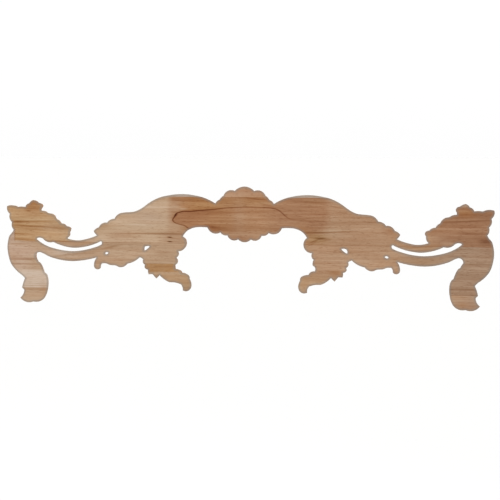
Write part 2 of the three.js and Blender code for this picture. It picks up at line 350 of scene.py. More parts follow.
# Raises the carved side where a form stands, and cuts the form's fine lines
def carve(places, heights, form):
    line = batten(form["spine"], 22)
    halfWidths, rises = np.array(form["halfWidths"]), np.array(form["rises"])
    reach = halfWidths.max()
    near = np.where(((places > line.min(0) - reach) & (places < line.max(0) + reach)).all(1))[0]
    if not len(near):
        return
    start, step = line[:-1], np.diff(line, axis=0)
    offset = places[near][:, None] - start[None]
    t = np.clip((offset * step).sum(2) / np.maximum((step**2).sum(1), 1e-9), 0, 1)
    gap = np.linalg.norm(offset - t[..., None] * step, axis=2)
    best = gap.argmin(1)
    rows = np.arange(len(near))
    share = (best + t[rows, best]) / len(step)
    halfWidth = np.interp(share, np.linspace(0, 1, len(halfWidths)), halfWidths)
    rise = np.interp(share, np.linspace(0, 1, len(rises)), rises)
    distance = gap[rows, best]
    u = distance / halfWidth
    on = u < 1
    height = (rise[on] + block["sink"]) * form["section"](u[on]) - block["sink"]
    fade = np.clip(np.minimum(share[on], 1 - share[on]) / block["grooveFade"], 0, 1)
    fade = fade * np.minimum(1, halfWidth[on] / block["grooveFull"])
    for place in form.get("lines", ()):
        away = (distance[on] - place * halfWidth[on]) / block["grooveHalf"]
        height -= block["groove"] * fade * np.exp(-(away**2))
    spots = near[on]
    heights[spots] = np.maximum(heights[spots], block["edge"] + height)


def shares(values, whole):
    return [value * whole for value in values]


# The crown of a lobe between two corners of the edge. A corner is its place and the bow of the arc to it
def crownOf(start, corner):
    a, b = np.array(start[:2]), np.array(corner[:2])
    chord = b - a
    return (a + b) / 2 + corner[2] * np.array([-chord[1], chord[0]])


# One petal for each lobe between the corners of an edge
def petals(start, corners, rootOf, rise, lines=(0.0,)):
    forms = []
    for k, corner in enumerate(corners):
        crown = crownOf(start, corner)
        root = np.array(rootOf((k + 0.5) / len(corners), crown))
        halfWidth = math.hypot(corner[0] - start[0], corner[1] - start[1]) / 2
        forms.append({
            "spine": [root, root + (crown - root) * block["pastCrown"]],
            "halfWidths": shares([0.35, 0.85, 1.15, 0.8], halfWidth),
            "rises": shares([0.45, 0.9, 1.0, 0.35], rise),
            "section": lobeSection,
            "lines": lines,
        })
        start = corner
    return forms


def leafPetals(start, corners, firstRoot, lastRoot, rise=6.0):
    first, last = np.array(firstRoot), np.array(lastRoot)
    return petals(start, corners, lambda share, crown: first + (last - first) * share, rise)


def ridge(spine, halfWidths, rises, section=roundSection, lines=()):
    return {"spine": spine, "halfWidths": halfWidths, "rises": rises, "section": section, "lines": lines}


def bead(spine, halfWidth, rise):
    return ridge(spine, shares([1, 1, 0.5], halfWidth), shares([1, 1, 0.6], rise))


def vein(spine):
    return ridge(spine, shares([1, 1, 0.5], 2.4), shares([1, 1, 0.6], 7.0))


def swelling(spine, halfWidths):
    return ridge(spine, halfWidths, shares([0.6, 1, 1, 1, 0.6], 3.5))


def stem(spine, halfWidths):
    return ridge(spine, halfWidths, shares([0.1, 0.8, 1, 1, 1, 0.8, 0.1], 4.0), lines=(0.36,))


def dome(place, radius, rise):
    x, z = place
    tiny = 0.01 * radius
    return ridge([(x - tiny, z), (x + tiny, z)], [radius, radius], [rise, rise])


# The lobes of the edge, each corner with the bow of the arc to it
shellEdge = [
    (23.7, 26.4, 0.16), (30.6, 18, 0.1), (36, 13.2, 0.08), (42.5, -0.5, 0.2), (46, -16.7, 0.2),
    (29.8, -22.6, 0.24), (21.2, -26.1, 0.15), (7.9, -30.8, 0.25),
]
archLeafEdge = [
    (135, 2.9, 0), (150, 0.9, 0.05), (162.3, -6.8, 0.15), (171.7, -11.7, 0.12), (182.3, -17.8, 0.17),
    (188.8, -22.5, 0.1),
]
hangingLeafOuter = [(124.6, -64, 0.16), (120.6, -70, 0.26), (114.9, -74.8, 0.41), (105.7, -76, 0.4)]
hangingLeafTip = [(94, -84, 0.06), (80, -86.5, 0.1)]
hangingLeafInner = [(80, -70.5, 0.15), (86, -63, 0.1), (84.4, -54, 0.2), (82.5, -46, 0.2)]
curlLeafEdge = [(169, -64, -0.1), (160.5, -65, 0.02), (146.4, -62.2, 0.21), (130.9, -54.2, 0.08)]
endLeafEdge = [
    (219.4, -24, 0.15), (223.2, -16.8, 0.37), (230.4, -13.3, 0.12), (235.9, -8, 0.08), (246.5, -0.5, 0.15),
    (255.3, 2.3, 0.08),
]
crestEdge = [(258.5, 12, 0.33), (270.7, 11.3, 0.27), (276, 6.6, 0.14)]
endTopEdge = [(285.8, 6.5, 0.05), (299.3, 7.6, 0.11)]
endSideEdge = [(296.6, -2.3, 0.03), (294, -12.4, 0.16), (292, -22, 0.14)]
toeEdge = [(281.6, -94.2, 0.03), (284, -106.7, 0.05)]


def fromBoss(share, crown):
    return crown * block["bossShare"]


def middleForms():
    return [
        dome((0, -1), 12, 9.0),
        *petals((-12, 28.6), [(12, 28.6, 0.22)], fromBoss, 6.5, ()),
        *petals((7.9, -30.8), [(-7.9, -30.8, 0.2)], fromBoss, 6.5, ()),
    ]


def sideForms():
    return [
        *petals((12, 28.6), shellEdge, fromBoss, 6.5, ()),
        swelling([(42, -1), (62, 3), (82, 1), (100, -8), (114, -20)], [12, 17, 19, 19, 15]),
        ridge(
            [(36, 0), (58, 8.5), (78, 9.5), (94, 0), (99, -15), (96, -30), (87, -40.5), (77.5, -39.5),
             (76.5, -32.5), (82, -31.5)],
            [4, 7.5, 7.5, 7.5, 7, 6, 5, 3.8, 3, 2.4],
            shares([0.3, 1, 1, 1, 1, 1, 1, 0.95, 0.85, 0.7], 7.0),
            channelSection,
        ),
        bead([(39, 10.5), (60, 18.6), (78, 20.2), (95, 18.4), (118, 9), (134, -0.6), (150, -3.5), (164, -12)],
             3.2, 7.0),
        bead([(48, -13), (60, -12.8), (72, -17.5), (80, -25), (85, -33)], 2.8, 7.0),
        dome((80.5, -36.5), 3.6, 8.0),
        swelling([(104, -8), (122, -13), (142, -16), (160, -18), (178, -22)], [13, 15, 14, 10, 6]),
        *leafPetals((120, 12.1), archLeafEdge, (106, -12), (164, -24)),
        vein([(104, -14), (130, -19.5), (156, -23), (186, -24.5)]),
        swelling([(100, -36), (104, -50), (101, -65), (91, -76), (71, -90)], [14, 17, 15, 11, 6]),
        *leafPetals((126.5, -56.7), hangingLeafOuter, (108, -38), (99, -66)),
        *leafPetals((105.7, -76), hangingLeafTip, (98, -66), (88, -76)),
        *leafPetals((69, -75.6), hangingLeafInner, (88, -79), (102, -42)),
        vein([(104, -32), (107, -50), (101, -66), (89, -78), (73, -87), (70, -93)]),
        *leafPetals((178.5, -62.5), curlLeafEdge, (164, -54), (120, -33)),
        vein([(114, -27), (135, -42), (155, -51), (176, -56), (185, -61), (184, -68)]),
        stem([(140, -26), (168, -31.5), (190, -35.8), (215, -38.8), (238, -34), (256, -27), (272, -19)],
             [2.5, 4.4, 4.6, 4.6, 4.6, 4, 2.5]),
        stem([(130, -34), (158, -42), (188, -49), (215, -53.4), (243, -49.5), (264, -41), (280, -32)],
             [3, 5, 5.8, 6, 6, 5, 3]),
        swelling([(288, -12), (270, -12), (250, -14), (234, -20), (224, -26)], [14, 15, 13, 10, 6]),
        *leafPetals((222.5, -31.8), endLeafEdge, (238, -26), (270, -20)),
        *leafPetals((276, 6.6), endTopEdge, (276, -14), (284, -10)),
        *leafPetals((299.4, 2.5), endSideEdge, (284, -8), (280, -22)),
        *leafPetals((255.4, 4.6), crestEdge, (263, 2), (268, 2)),
        vein([(286, -26), (262, -21.5), (240, -23.5), (220, -23)]),
        ridge([(280, -24), (286, -40), (281, -58), (270, -72), (263, -86), (264, -98), (272, -105)],
              [9, 13, 15, 13, 13, 13, 9], shares([0.6, 0.8, 0.85, 0.8, 0.75, 0.7, 0.5], 6.0),
              lines=(0.0, 0.34)),
        bead([(290, -22), (294.5, -32), (296.3, -45), (292, -62), (282.5, -74), (272, -84)], 2.8, 6.0),
        bead([(266, -50), (266, -60), (258, -74), (252, -86), (254.5, -100), (265, -107.5), (279, -107)],
             2.8, 6.0),
        *leafPetals((277.7, -82.3), toeEdge, (268, -84), (266, -98)),
        dome((273, -44), 6, 8.0),
    ]


# Evens the heights between neighbours, which softens the foot and the crest of each form
def evened(heights, faces, share):
    total, count = np.zeros(len(heights)), np.zeros(len(heights))
    for a, b in ((0, 1), (1, 2), (2, 0)):
        for here, there in ((a, b), (b, a)):
            np.add.at(total, faces[:, here], heights[faces[:, there]])
            np.add.at(count, faces[:, here], 1)
    mean = total / np.maximum(count, 1)
    return heights + share * (mean - heights)


# Where a column and row of the photo, counted from its top left corner, lie on the flat side
def onFlatSide(column, row):
    place = Vector(studio["cameraPlace"])
    ahead = (Vector(studio["cameraAim"]) - place).normalized()
    right = ahead.cross(Vector((0, 0, 1))).normalized()
    up = right.cross(ahead)
    middle = studio["photoSide"] / 2
    distance = studio["lens"] / studio["sensor"] * studio["photoSide"]
    ray = distance * ahead + (column - middle) * right + (middle - row) * up
    spot = place - ray * (place.y / ray.y)
    return spot.x / mm, spot.z / mm


# Distances from the long growth line of the middle, positive inside its nose
def growthGaps(places):
    line = batten([onFlatSide(column, row) for column, row in wood["growthLine"]], 4)
    start, step = line[:-1], np.diff(line, axis=0)
    offset = places[:, None] - start[None]
    t = np.clip((offset * step).sum(2) / (step**2).sum(1), 0, 1)
    gap = np.linalg.norm(offset - t[..., None] * step, axis=2).min(1)
    ring = np.vstack([line, [(line[-1, 0], block["lineFoot"]), (line[0, 0], block["lineFoot"])]])
    inside = np.array([holds(ring, place) for place in places])
    return np.where(inside, gap, -gap)


# The carved side: places, triangles, distances to the edge, heights, and how hollow each place lies
def carvedSide(loops):
    step = block["step"]
    grid = fillPlaces(loops, step, block["gridGap"] * step)
    ring = np.vstack([inset(loop, block["ringGap"] * step) for loop in loops])
    places, faces = triangulated(loops, [ring, grid])
    toEdge = edgeGaps(loops, places)
    heights = np.full(len(places), block["edge"])
    otherHalf = places * (-1, 1)
    for form in middleForms():
        carve(places, heights, form)
    for form in sideForms():
        carve(places, heights, form)
        carve(otherHalf, heights, form)
    for _ in range(block["softenings"]):
        heights = evened(heights, faces, 0.5)
    easy = np.clip(block["roundOver"] - toEdge, 0, block["roundOver"])
    heights -= block["roundOver"] - np.sqrt(block["roundOver"] ** 2 - easy**2)
    heights = np.minimum(heights, -cadBox[0].y / mm)  # never past the solid
    around = heights
    for _ in range(block["hollowSpread"]):
        around = evened(around, faces, 1.0)
    return places, faces, toEdge, heights, around - heights


# The flat side inside its eased corner: places, triangles and distances to the edge
def flatSide(loops):
    inner = [inset(loop, block["arris"]) for loop in loops]
    grid = fillPlaces(loops, block["flatStep"], block["flatGap"])
    ring = np.vstack([inset(loop, block["flatRing"])[::2] for loop in loops])
    places, faces = triangulated(inner, [ring, grid])
    return places, faces, edgeGaps(loops, places)


# The faces of the sawn edge and of the eased corner, where places are numbered from the carved side on
def edgeFaces(loops, rimStart, flatStart):
    faces = []
    first = 0
    for loop in loops:
        count = len(loop)
        for i in range(count):
            a, b = first + i, first + (i + 1) % count
            faces.append((a, b, rimStart + b, rimStart + a))
            faces.append((rimStart + a, rimStart + b, flatStart + b, flatStart + a))
        first += count
    return faces


def makeApplique():
    loops = [smoothed(loop) for loop in edgeLoops(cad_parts["applique"])]
    carvedLoops = [inset(loop, block["lean"]) for loop in loops]
    carved, carvedFaces, carvedToEdge, heights, hollow = carvedSide(carvedLoops)
    flat, flatFaces, flatToEdge = flatSide(loops)
    edge = np.vstack(loops)

    # All places: the carved side, the edge at the eased corner, and the flat side
    front = np.column_stack([carved[:, 0], -heights, carved[:, 1]])
    rim = np.column_stack([edge[:, 0], np.full(len(edge), -block["arris"]), edge[:, 1]])
    back = np.column_stack([flat[:, 0], np.zeros(len(flat)), flat[:, 1]])
    vertices = np.vstack([front, rim, back]) * mm
    rimStart, flatStart = len(front), len(front) + len(rim)
    faces = [tuple(f) for f in carvedFaces]
    faces += edgeFaces(loops, rimStart, flatStart)
    faces += [tuple(f[::-1] + flatStart) for f in flatFaces]

    mesh = bpy.data.meshes.new("applique_carved")
    mesh.from_pydata(vertices.tolist(), [], faces)
    mesh.validate()
    mesh.update()
    piece = bpy.data.objects.new("applique_carved", mesh)
    bpy.context.scene.collection.objects.link(piece)
    growthGap = growthGaps(np.vstack([edge, flat]))
    for name, values in (
        ("hollow", [hollow, np.zeros(len(rim) + len(back))]),
        ("edgeGap", [carvedToEdge, np.zeros(len(rim)), flatToEdge]),
        ("growthGap", [np.full(len(front), block["farAway"]), growthGap]),
    ):
        layer = mesh.attributes.new(name, "FLOAT", "POINT")
        layer.data.foreach_set("value", np.concatenate(values).astype(np.float32))
    mesh.shade_smooth()
    mesh.set_sharp_from_angle(angle=math.radians(block["sharpAngle"]))
    triangles = sum(len(face) - 2 for face in faces)
    print("applique:", len(vertices), "places,", triangles, "triangles")
    return piece


wood = {
    "length": 600,  # what the places of the bands are a share of, in millimetres
    # Bare wood, as linear red, green and blue
    "tones": {
        "ashen": (0.43, 0.32, 0.245),
        "paleAsh": (0.525, 0.4, 0.305),
        "palePink": (0.47, 0.325, 0.235),
        "pinkBrown": (0.39, 0.216, 0.122),
        "beige": (0.475, 0.33, 0.215),
        "pinkBeige": (0.43, 0.285, 0.18),
        "straw": (0.445, 0.272, 0.14),
        "tan": (0.42, 0.27, 0.168),
        "warmTan": (0.41, 0.258, 0.145),
        "leafBrown": (0.385, 0.23, 0.134),
        "greyBrown": (0.335, 0.212, 0.134),
        "redBrown": (0.35, 0.18, 0.088),
        "tongue": (0.33, 0.155, 0.072),
        "dullRed": (0.32, 0.16, 0.08),
        "deepRed": (0.295, 0.15, 0.078),
        "darkRed": (0.255, 0.12, 0.06),
        "orange": (0.33, 0.155, 0.058),
        "ochre": (0.36, 0.19, 0.075),
        "olive": (0.3, 0.165, 0.06),
    },
    # Bands of the blank from the top down: where each starts, how softly, and its tones from end to end
    "bands": (
        (99, 1.0, ((-110, "ashen"), (-50, "ashen"), (-38, "pinkBrown"), (38, "pinkBrown"), (50, "ashen"))),
        (20.8, 0.4, (
            (-290, "deepRed"), (-225, "dullRed"), (-212, "leafBrown"), (-192, "leafBrown"), (-178, "dullRed"),
            (-165, "leafBrown"), (-107, "leafBrown"), (-97, "dullRed"), (-45, "dullRed"), (-20, "redBrown"),
            (10, "redBrown"), (40, "orange"), (62, "orange"), (89, "redBrown"), (97, "beige"), (160, "beige"),
            (185, "warmTan"), (212, "tan"), (225, "warmTan"), (255, "straw"), (292, "straw"),
        )),
        (-22, 5.0, (
            (-290, "deepRed"), (-245, "deepRed"), (-212, "leafBrown"), (-170, "leafBrown"),
            (-110, "leafBrown"), (-75, "redBrown"), (60, "tan"), (92, "tan"), (110, "beige"),
            (160, "pinkBeige"), (178, "beige"), (195, "tan"), (218, "warmTan"), (240, "straw"),
            (292, "straw"),
        )),
        (-36, 0.5, (
            (-290, "greyBrown"), (-205, "greyBrown"), (-185, "leafBrown"), (-60, "leafBrown"),
            (80, "pinkBeige"), (125, "pinkBeige"), (165, "pinkBeige"), (185, "tan"), (235, "tan"),
            (262, "pinkBeige"), (290, "palePink"),
        )),
        (-72, 5.0, (
            (-270, "greyBrown"), (-120, "leafBrown"), (-60, "warmTan"), (60, "warmTan"), (120, "warmTan"),
            (230, "palePink"), (250, "paleAsh"), (285, "paleAsh"),
        )),
        (-94, 0.5, ((-280, "greyBrown"), (-255, "leafBrown"), (250, "pinkBeige"), (280, "pinkBeige"))),
    ),
    "joints": (20.8, -36.0, -94.0),
    # Named patches of another tone: middle, reach along and across the grain, tone and share
    "patches": (
        (265, 9, 17, 10, "orange", 1.0), (265, 10, 12, 8, "orange", 0.6), (-266, 4, 12, 5, "orange", 0.7),
        (57, 10, 12, 3, "ochre", 0.25), (0, 15, 38, 6, "orange", 0.6), (-86, 17, 14, 4, "orange", 0.5),
        (77.4, 6.2, 5, 0.9, "beige", 0.9), (87, 8, 7, 7, "tan", 0.75), (-86, 17, 19, 2.8, "darkRed", 0.45),
        (-89, -28, 15, 7, "olive", 0.6), (86, -17, 13, 7, "beige", 0.7), (276, -50, 22, 6, "palePink", 0.8),
        (288, -36.5, 9, 1.2, "paleAsh", 0.8), (-293, -30, 9, 8, "darkRed", 0.9),
        (-262, -105, 6, 2.5, "orange", 0.7), (-111, -69, 9, 3, "orange", 0.6),
        (-152, -49, 22, 6, "leafBrown", 0.5), (-74, -86, 7, 8, "orange", 0.4),
        (120, -4, 22, 9, "ashen", 0.4), (-66, -20, 12, 7, "orange", 0.4), (253, -96, 6, 9, "redBrown", 0.4),
        (-210, -37, 22, 4, "redBrown", 0.6), (-96, -84, 18, 6, "warmTan", 0.6),
        (-14, 18, 22, 5, "orange", 0.35), (6, -6, 7, 30, "tan", 0.25), (229, -50, 18, 4, "paleAsh", 0.8),
        (8, -29, 20, 5, "dullRed", 0.8), (-168, -58, 16, 7, "redBrown", 0.5), (286, -39, 10, 3, "tan", 0.6),
        (-108, -19, 13, 8, "pinkBeige", 0.8), (287, 4, 10, 5, "ochre", 0.4),
        (-184, -25, 9, 6, "redBrown", 0.5), (-265, 13, 6, 2.5, "tan", 0.7), (292, -62, 8, 14, "tan", 0.5),
        (-247, -33, 9, 3, "tan", 0.5), (-212, -54, 26, 5, "ochre", 0.3),
        (-255, -104, 10, 5, "greyBrown", 0.6), (247, -19, 12, 4, "beige", 0.6),
        (117, 11, 18, 5, "pinkBeige", 0.6), (-160, -17, 16, 6, "redBrown", 0.3),
        (287, -13, 8, 4, "ochre", 0.5), (-268, -108, 14, 5, "deepRed", 0.4),
        (-113, 9, 14, 5, "redBrown", 0.4), (-223, -26, 8, 5, "redBrown", 0.4), (172, -54, 8, 4, "tan", 0.6),
        (-214, -38, 26, 4, "ochre", 0.3), (247, -33, 8, 4, "beige", 0.3),
        (70, -92, 7, 5, "greyBrown", 0.35), (-73, -92, 7, 5, "greyBrown", 0.35),
    ),
    # The stained band across one hanging leaf: lowest and highest places, tone and share
    "stain": (80, 128, -71.6, -61.6, "ochre", 0.85),
    # Dark lines of the figure by their places in the photo: columns from and to, and row at each. Then
    # come the reach across the grain in millimetres and the darkness
    "streaks": (
        (12, 26, 221.4, 221.5, 1.3, 0.48), (24, 48, 221.6, 220.8, 1.1, 0.25),
        (14, 26, 224.6, 225.2, 0.7, 0.3), (19, 46, 225.7, 226.6, 0.8, 0.45),
        (40, 68, 226.6, 229.3, 0.9, 0.28), (24, 44, 228.6, 230, 0.7, 0.22),
        (11, 28, 233.2, 234.2, 1.3, 0.4), (26, 48, 231.2, 233, 0.8, 0.15), (11, 33, 238.6, 239.6, 1.8, 0.4),
        (44, 68, 240.4, 241.4, 0.9, 0.3), (19, 47, 216, 215.4, 0.8, 0.14),
        (27, 30.5, 210.8, 210.8, 1.2, 0.35), (10, 25, 243.6, 244, 0.7, 0.22),
        (9, 37, 258.6, 259.4, 1.2, 0.3), (13, 39, 263.4, 264.2, 1, 0.24), (18, 42, 268.2, 268.8, 1.2, 0.15),
        (22, 46, 282.9, 283.2, 0.6, 0.25), (22, 46, 285, 285.2, 0.6, 0.3), (19, 46, 288.5, 288.9, 1.5, 0.3),
        (22, 44, 291.8, 292.2, 0.9, 0.18), (66, 88, 241.3, 243, 0.9, 0.18), (66, 92, 246.8, 246, 0.7, 0.15),
        (56, 90, 256.2, 252.8, 1.1, 0.25), (104, 150, 233.8, 233.6, 0.8, 0.16),
        (143, 186, 233.9, 234, 0.9, 0.5), (122, 144, 237.4, 237.6, 0.7, 0.16),
        (108, 140, 242, 241.8, 0.8, 0.08), (110, 144, 245.6, 243.8, 1.1, 0.13),
        (128, 146, 251, 251.4, 0.8, 0.16), (104, 118, 248.6, 245.8, 1.3, 0.35),
        (164, 182, 237.4, 238.8, 0.6, 0.28), (164, 182, 241.2, 241.8, 0.6, 0.24),
        (168, 171, 237, 237.2, 0.45, 2.4), (168, 171, 241.3, 241.5, 0.45, 2.4),
        (158, 170, 253, 252.8, 1.8, 0.22), (168, 200, 200, 201, 1.6, 0.15),
        (247, 265, 198.2, 200, 0.9, 0.32), (219, 237, 203.2, 203.5, 0.8, 0.22),
        (262, 275, 204, 207.4, 1.1, 0.15), (207, 219, 226, 228, 1.8, 0.3),
        (174, 177, 216.8, 213.4, 1.3, 0.9), (298, 328, 201.4, 203, 1.4, 0.14),
        (296, 330, 214.3, 214.8, 0.7, 0.12), (292, 322, 221, 221.4, 0.6, 0.14),
        (303, 337, 232.9, 232.4, 0.9, 0.4), (330, 356, 232.2, 231.6, 0.7, 0.2),
        (316, 325.5, 238.2, 238.8, 1.1, 0.55), (308.5, 319, 243.6, 239.3, 0.8, 0.35),
        (307.5, 315, 247, 242.4, 0.7, 0.25), (321.5, 329.5, 241.2, 239.9, 0.8, 0.2),
        (326, 349, 205.2, 209.9, 0.5, 0.16), (330, 352, 210.4, 215, 0.5, 0.14),
        (365, 380, 222.4, 222.8, 0.8, 0.22), (350, 384, 251.6, 251.4, 0.8, 0.14),
        (442, 486, 222.2, 220.8, 0.9, 0.4), (450, 490, 227.2, 227, 0.8, 0.14),
        (459, 490, 233.6, 234.2, 1.1, 0.28), (463, 491, 264.6, 265, 1, 0.22),
        (479.5, 491, 242.4, 242.1, 3, 0.3), (456, 474, 289.6, 290, 0.9, 0.22),
        (400, 430, 248.4, 246.4, 0.7, 0.14),
    ),
    # The long growth line of the middle by columns and rows, from below its nose, round it and along its top
    "growthLine": (
        (188.5, 228.5), (184.5, 225.6), (180, 224.5), (175.5, 223), (173.5, 221.5), (172.5, 219.8),
        (174.2, 217.1), (175.4, 214.9), (176.5, 213.3), (180.3, 212), (183.8, 211.3), (191.5, 211.3),
        (199.9, 210.4), (215, 209.3), (225.1, 208), (242.4, 207.1), (257, 207.2), (268.5, 207.7),
        (276.6, 209.3), (281.5, 212.5), (286.4, 216.9), (290.2, 219), (296.7, 219.6), (305, 220),
    ),
    "lineHalf": 0.62,
    "lineDark": 1.15,
    "lineFade": (-68, -40),  # where the growth line starts and where it is full, from its right end
    "lineBold": (10, 80),  # from here to there it gains the second half of its strength
    "lineThin": (-12, -5),  # and from this height up to that one the rest of what is lost low down
    "lineLow": 0.55,  # its strength low down
    "insideSoft": (-0.5, 1.2),  # how the tone inside the growth line starts across the line
    "insideAlong": (5, 60),  # and along it
    "insideShare": 0.8,
    "streakLength": 0.62,  # the reach of a streak along the grain, as a share of its length
    "streakThrough": 30,  # how far a streak and a patch go through the wood
    "patchThrough": 40,
    "streakYield": (0, 0, 0.2),  # how far a streak gives way to the lines before it
    "jointReach": (0.55, 0.1),
    "jointDark": 0.22,
    "seamAt": 289.8,  # the finger joint that lengthens the left end leaf
    "seamPitch": 2.4,
    "seamSlope": 1.5,  # how far a finger reaches along for each millimetre across
    "seamStart": 0.7,  # how far its root lies before the seam
    "seamBottom": (-36.5, -35.5),
    "seamTop": (-18, -22),
    "seamSoft": (-0.2, 0.4),
    "seamReach": (0.75, 0.15),
    "seamDark": 0.5,
    "endPiece": "palePink",  # left of the finger joint
    "boardShift": (173, 61, 29),  # how far the grain of each board is moved from that of the board above
    "wander": (110, 30, 26),  # the reach of the wandering of the lines
    "warp": 4.0,
    "warpAlong": 12.0,
    "figureShare": 0.35,  # how much of the wandering the figure takes
    "grain": (  # length, height and strength of each layer of the grain, from broad to fine
        (170.0, 15.0, 0.50),
        (80.0, 3.4, 0.52),
        (34.0, 1.3, 0.38),
    ),
    "grainThrough": 1.3,  # how far the grain goes through the wood, as a share of its height
    "pores": (6.0, 0.42, 0.30),
    "poreLimits": (0.60, 0.72),
    "tints": ((1.08, 0.99, 0.93), (0.93, 1.01, 1.06)),
    "tintReach": (60, 18, 11),
    "tintShare": 0.5,
    "blotchReach": (9, 9, 5),
    "blotchShare": 0.7,
    "stainSoft": 0.6,  # half of the soft edge under the stain, over it and at its ends
    "stainTopSoft": 0.7,
    "stainEndSoft": 2,
    "hollows": (-1.2, 2.0),  # how far a crest and a hollow are from what is around them
    # Painted light on the crests and painted shade in the hollows of the carved side
    "crestPaintedLight": -0.10,
    "hollowPaintedShade": 0.26,
    "carvedDepth": (4.0, 6.5),  # where the painted shade and light of the carved side start, and where they are full
    "sawnTilt": (0.75, 0.35),
    "sawnDepth": (7.6, 6.4),
    "sawReach": (0.7, 14, 0.7),
    "sawShare": 0.35,
    "sawnDark": -0.11,
    # Painted shade along the edge of the flat side, easing off at the corner itself
    "edgeShadeTone": (0.21, 0.2, 0.18),
    "edgeShadeReach": (3.2, 1.0),
    "edgeShadeDepth": (3.5, 0.3),
    "edgeShadeShare": 0.5,
    "edgeShadeEaseReach": (0.9, 0.1),
    "edgeShadeEaseShare": 0.6,
    "roughness": 0.62,
    "darkRoughness": 0.18,  # how much rougher the dark wood is
    "shine": 0.22,
    "grainRelief": 0.00012,  # metres
    "poreRelief": 0.6,
    "reliefThrough": 0.6,
    "sawRelief": 1.5,
}


# Adds a shader node. An input given as a socket is linked, and any other is set
def add(tree, kind, inputs, **settings):
    node = tree.nodes.new("ShaderNode" + kind)
    for name, value in settings.items():
        setattr(node, name, value)
    for name, value in inputs.items():
        if isinstance(value, bpy.types.NodeSocket):
            tree.links.new(value, node.inputs[name])
        else:
            node.inputs[name].default_value = value
    return node


def maths(tree, operation, *values):
    return add(tree, "Math", dict(enumerate(values)), operation=operation).outputs[0]


def vectorMaths(tree, operation, *values):
    node = add(tree, "VectorMath", dict(enumerate(values)), operation=operation)
    return node.outputs["Value" if operation == "DOT_PRODUCT" else "Vector"]


# Runs smoothly from 0 at one place to 1 at the other
def between(tree, value, zeroAt, oneAt):
    inputs = {"Value": value, "From Min": zeroAt, "From Max": oneAt}
    return add(tree, "MapRange", inputs, interpolation_type="SMOOTHSTEP").outputs["Result"]


def blend(tree, share, base, over, kind="MIX"):
    node = add(tree, "Mix", {}, data_type="RGBA", blend_type=kind)
    for index, value in ((0, share), (6, base), (7, over)):
        if isinstance(value, bpy.types.NodeSocket):
            tree.links.new(value, node.inputs[index])
        else:
            node.inputs[index].default_value = value if index == 0 else (*value, 1.0)
    return node.outputs[2]


faded = 0.368  # what is left of a soft patch or line at its reach


# A soft patch around a place: 1 in its middle, and faded at its reach
def patch(tree, place, middle, reach, angle=0.0):
    inputs = {"Vector": place, "Location": middle, "Rotation": (0, angle, 0), "Scale": reach}
    local = add(tree, "Mapping", inputs, vector_type="TEXTURE").outputs[0]
    return maths(tree, "POWER", faded, vectorMaths(tree, "DOT_PRODUCT", local, local))


def noise(tree, place, reach, detail=2.0):
    scaled = vectorMaths(tree, "MULTIPLY", place, tuple(1 / r for r in reach))
    return add(tree, "TexNoise", {"Vector": scaled, "Scale": 1.0, "Detail": detail}).outputs["Fac"]


# Places in the wood, all in millimetres, that the steps of the material share
def woodPlaces(tree):
    coordinates = add(tree, "TexCoord", {})
    spot = vectorMaths(tree, "MULTIPLY", coordinates.outputs["Object"], (1 / mm, 1 / mm, 1 / mm))
    split = add(tree, "SeparateXYZ", {0: spot})
    up = split.outputs["Z"]

    # Each board has a grain of its own, and its lines wander a little
    board = 0.0
    for joint in wood["joints"]:
        board = maths(tree, "ADD", board, maths(tree, "LESS_THAN", up, joint))
    ownSpot = vectorMaths(tree, "MULTIPLY_ADD", board, wood["boardShift"], spot)
    wander = maths(tree, "SUBTRACT", noise(tree, ownSpot, wood["wander"], 1.0), 0.5)
    drift = vectorMaths(tree, "MULTIPLY", wander, (wood["warpAlong"], 0, wood["warp"]))
    return {
        "spot": spot,
        "across": split.outputs["X"],
        "up": up,
        "depth": maths(tree, "MULTIPLY", split.outputs["Y"], -1.0),
        "facing": add(tree, "SeparateXYZ", {0: coordinates.outputs["Normal"]}).outputs["Y"],
        "own": ownSpot,
        "figure": vectorMaths(tree, "MULTIPLY_ADD", drift, (wood["figureShare"],) * 3, spot),
        "grain": vectorMaths(tree, "ADD", ownSpot, drift),
    }


# The tones of the bands, one under the other
def bandTones(tree, at):
    along = add(tree, "SeparateXYZ", {0: at["figure"]}).outputs["X"]
    along = maths(tree, "MULTIPLY_ADD", along, 1 / wood["length"], 0.5)
    tone = None
    for top, softness, places in wood["bands"]:
        ramp = add(tree, "ValToRGB", {0: along})
        stops = ramp.color_ramp.elements
        for number, (x, name) in enumerate(places):
            position = x / wood["length"] + 0.5
            stop = stops[number] if number < 2 else stops.new(position)
            stop.position = position
            stop.color = (*wood["tones"][name], 1.0)
        band = ramp.outputs["Color"]
        if tone is None:
            tone = band
        else:
            tone = blend(tree, between(tree, at["up"], top + softness, top - softness), tone, band)
    return tone


def patched(tree, at, tone):
    for x, z, length, height, name, share in wood["patches"]:
        mask = patch(tree, at["figure"], (x, 0, z), (length, wood["patchThrough"], height))
        tone = blend(tree, maths(tree, "MULTIPLY", mask, share), tone, wood["tones"][name])
    return tone


def stained(tree, at, tone):
    left, right, low, high, name, share = wood["stain"]
    soft, topSoft, endSoft = wood["stainSoft"], wood["stainTopSoft"], wood["stainEndSoft"]
    blotch = noise(tree, at["own"], wood["blotchReach"])
    mask = maths(tree, "MULTIPLY_ADD", blotch, wood["blotchShare"], share - wood["blotchShare"] / 2)
    for value, outside, inside in (
        (at["up"], low - soft, low + soft),
        (at["up"], high + topSoft, high - topSoft),
        (at["across"], left - endSoft, left + endSoft),
        (at["across"], right + endSoft, right - endSoft),
    ):
        mask = maths(tree, "MULTIPLY", mask, between(tree, value, outside, inside))
    return blend(tree, mask, tone, wood["tones"][name])


